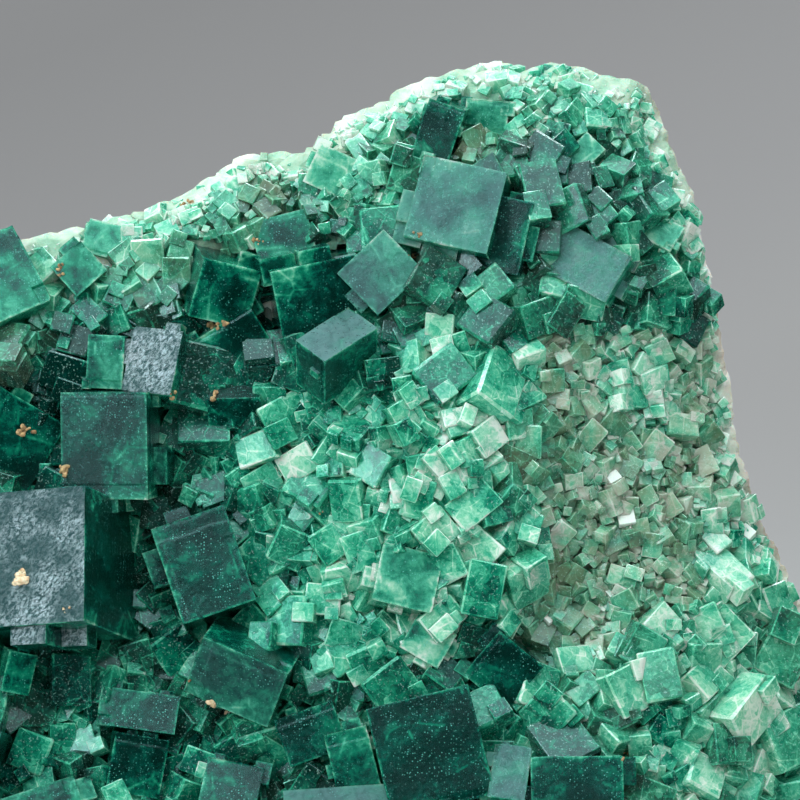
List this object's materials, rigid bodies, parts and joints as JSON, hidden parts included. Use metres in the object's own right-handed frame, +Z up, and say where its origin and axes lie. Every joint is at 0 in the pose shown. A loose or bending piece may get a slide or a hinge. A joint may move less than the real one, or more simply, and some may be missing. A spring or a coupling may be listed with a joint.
{
  "type": "fluorite specimen",
  "caption": "Upright slab of pale matrix with cubic green fluorite crystals grown over its front, from large dark cubes to a fine mint druse; stands on a flat base.",
  "frame": {"origin": "a point on the flat base, under the slab, 4 mm left of the middle of its width", "axes": "+Z up, -Y the way the crystals face, +X to the right when looking at the crystals"},
  "size_m": [0.1623, 0.0607, 0.1366],
  "materials": {
    "fluorite_dark_green": "dark emerald green, glassy with fine frosting, translucent",
    "fluorite_green": "green, glassy with fine frosting, translucent",
    "fluorite_mint": "pale mint green, translucent, sparkling small faces",
    "fluorite_rim_pale": "whitish green broken crystals, rough and glassy",
    "fluorite_olive": "brownish green druzy matrix with small clear crystals",
    "matrix_stone": "pale grey-brown quartz and fluorite matrix, rough broken surface"
  },
  "bodies": {
    "root": {"matrix": "matrix_stone", "cube_proud": "fluorite_dark_green", "cube_lit_top": "fluorite_dark_green", "cube_left_great": "fluorite_dark_green", "cube_left_speckled": "fluorite_dark_green", "cube_frosted": "fluorite_dark_green", "cube_lower_left": "fluorite_dark_green", "cube_grey_ledge": "fluorite_green", "cube_bottom_grey": "fluorite_dark_green", "cube_bottom_great": "fluorite_dark_green", "cube_lower_right": "fluorite_green", "block_mint": "fluorite_mint", "cube_dark_middle": "fluorite_dark_green", "cube_tilted_square": "fluorite_dark_green", "cube_upper_left": "fluorite_green", "cube_behind_proud": "fluorite_dark_green", "cube_upper_dark": "fluorite_dark_green", "cube_left_end": "fluorite_green", "cube_left_low": "fluorite_dark_green", "block_left_small": "fluorite_green", "cube_diamond": "fluorite_green", "cube_rim_pale": "fluorite_mint", "cube_rounded": "fluorite_green", "cube_shadowed": "fluorite_dark_green", "cube_ledge_small": "fluorite_dark_green", "cube_edge_left": "fluorite_green", "block_low_a": "fluorite_dark_green", "block_low_b": "fluorite_dark_green", "block_low_c": "fluorite_dark_green", "cube_low_middle": "fluorite_green", "cube_veined": "fluorite_green", "cube_teal": "fluorite_dark_green", "block_rounded": "fluorite_mint", "plate_grey": "fluorite_green", "block_speckled": "fluorite_mint", "block_upper_facet": "fluorite_green", "cube_right_facet": "fluorite_mint", "cube_upper_mint": "fluorite_mint", "cube_upper_round": "fluorite_mint", "cube_end_a": "fluorite_dark_green", "cube_end_b": "fluorite_green", "cube_end_c": "fluorite_dark_green", "cube_foot_a": "fluorite_dark_green", "cube_foot_b": "fluorite_green", "cube_foot_c": "fluorite_dark_green", "cube_foot_d": "fluorite_green", "cube_foot_e": "fluorite_green", "cube_foot_f": "fluorite_dark_green", "cube_foot_g": "fluorite_green", "cube_foot_h": "fluorite_mint", "druse_rim": "fluorite_rim_pale", "druse_upper_left": "fluorite_green", "druse_upper_right": "fluorite_mint", "druse_centre": "fluorite_mint", "druse_valley": "fluorite_olive", "druse_right_flank": "fluorite_mint", "druse_foot": "fluorite_green", "druse_left": "fluorite_green"}
  },
  "joints": []
}
